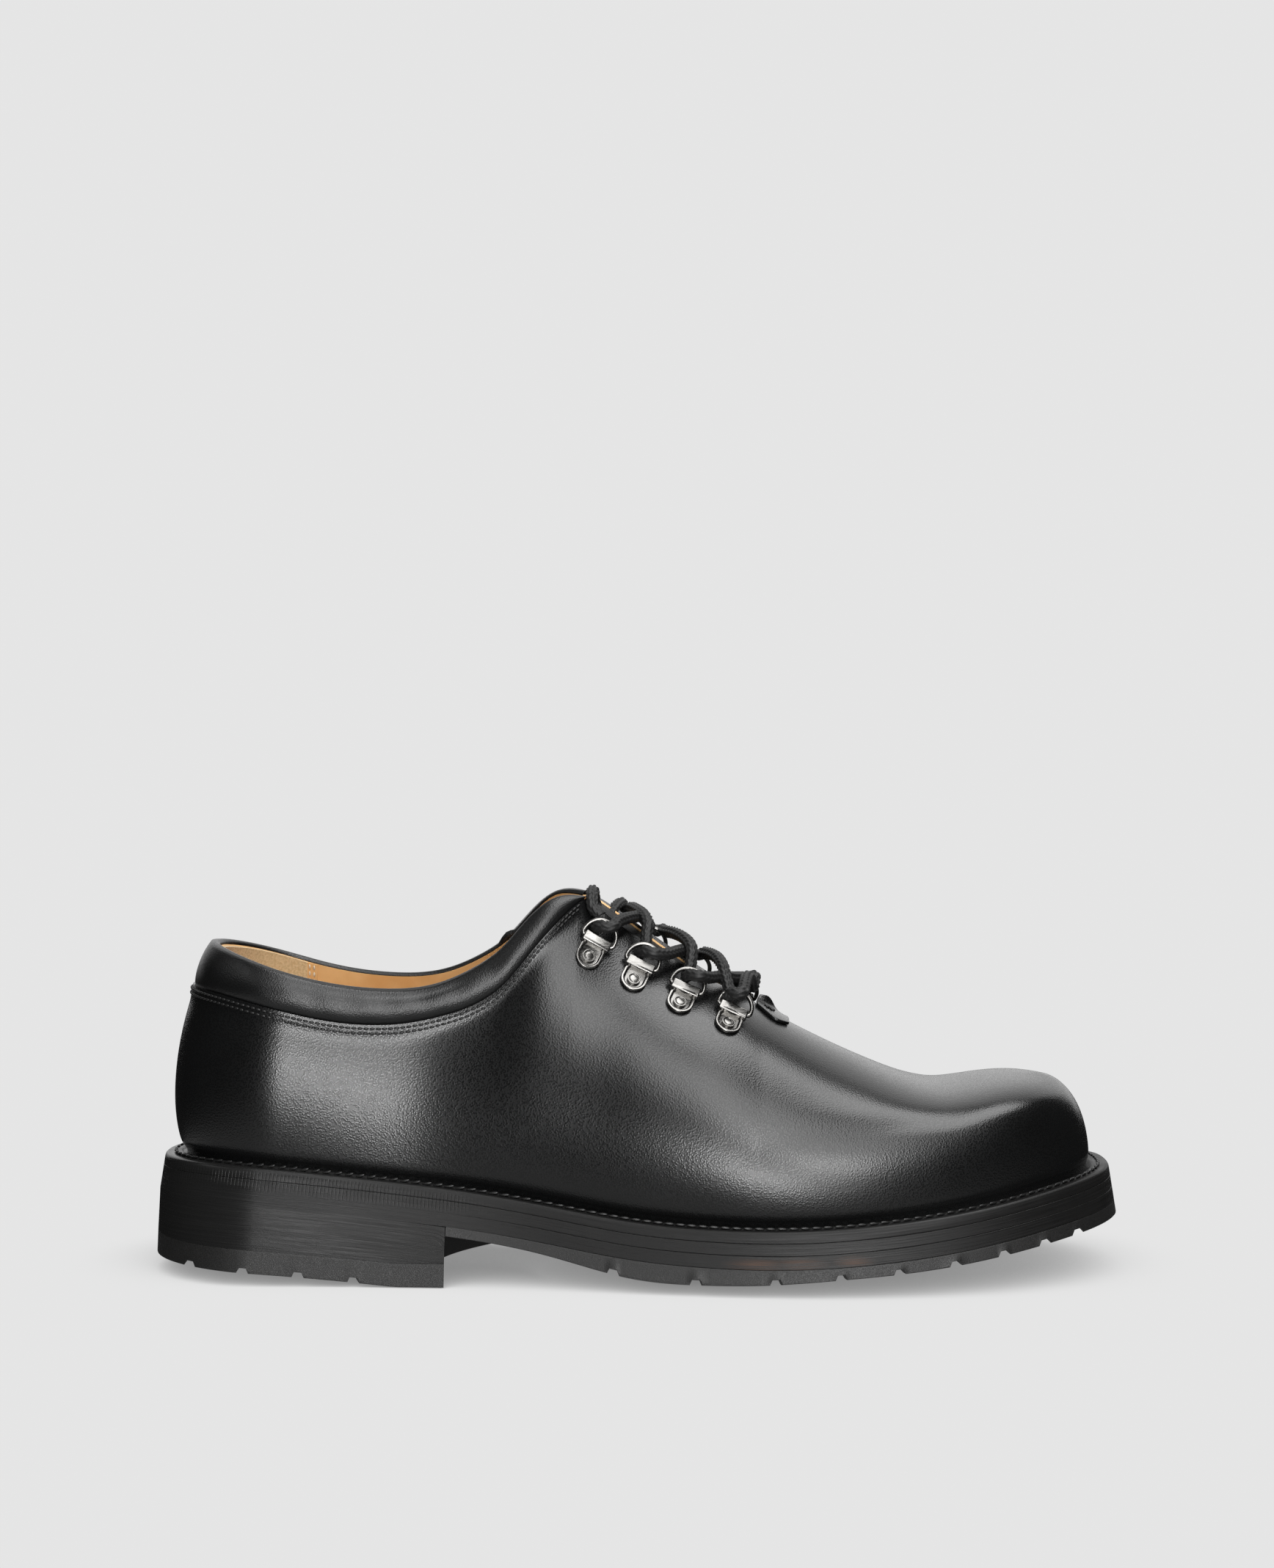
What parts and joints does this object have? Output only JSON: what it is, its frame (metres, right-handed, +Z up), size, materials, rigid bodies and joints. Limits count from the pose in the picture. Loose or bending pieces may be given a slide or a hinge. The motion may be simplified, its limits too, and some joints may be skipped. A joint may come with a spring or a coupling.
{
  "type": "wholecut haferl shoe",
  "caption": "Black leather wholecut haferl shoe for the right foot with a padded collar, off-centre D-ring lacing, storm welt, layered sole and heel",
  "frame": {"origin": "On the floor under the middle of the shoe's box", "axes": "+X to the toe, +Y to the inner (medial) side, +Z up"},
  "size_m": [0.3078, 0.1104, 0.1209],
  "materials": {
    "black_calf": "smooth box calf, satin polish",
    "tan_lining": "natural vegetable-tanned lining leather, matt",
    "edge_leather": "black-dyed, waxed sole edge",
    "black_rubber": "moulded, matt",
    "nickel": "nickel-plated steel, bright",
    "lace_cord": "round braided cotton cord"
  },
  "bodies": {
    "root": {"upper": "black_calf", "padded_collar": "black_calf", "tongue": "black_calf", "throat_tab": "black_calf", "insole": "tan_lining", "storm_welt": "edge_leather", "midsole": "edge_leather", "outsole": "edge_leather", "heel_stack": "edge_leather", "rubber_forepart": "black_rubber", "heel_top_lift": "black_rubber", "lace_plate_lateral_1": "nickel", "lace_ring_lateral_1": "nickel", "lace_plate_lateral_2": "nickel", "lace_ring_lateral_2": "nickel", "lace_plate_lateral_3": "nickel", "lace_ring_lateral_3": "nickel", "lace_plate_lateral_4": "nickel", "lace_ring_lateral_4": "nickel", "lace_plate_medial_1": "nickel", "lace_ring_medial_1": "nickel", "lace_plate_medial_2": "nickel", "lace_ring_medial_2": "nickel", "lace_plate_medial_3": "nickel", "lace_ring_medial_3": "nickel", "lace_plate_medial_4": "nickel", "lace_ring_medial_4": "nickel", "lace_bar_top": "lace_cord", "lace_crossing_1": "lace_cord", "lace_crossing_2": "lace_cord", "lace_crossing_3": "lace_cord", "lace_bar_toe": "lace_cord"}
  },
  "joints": []
}
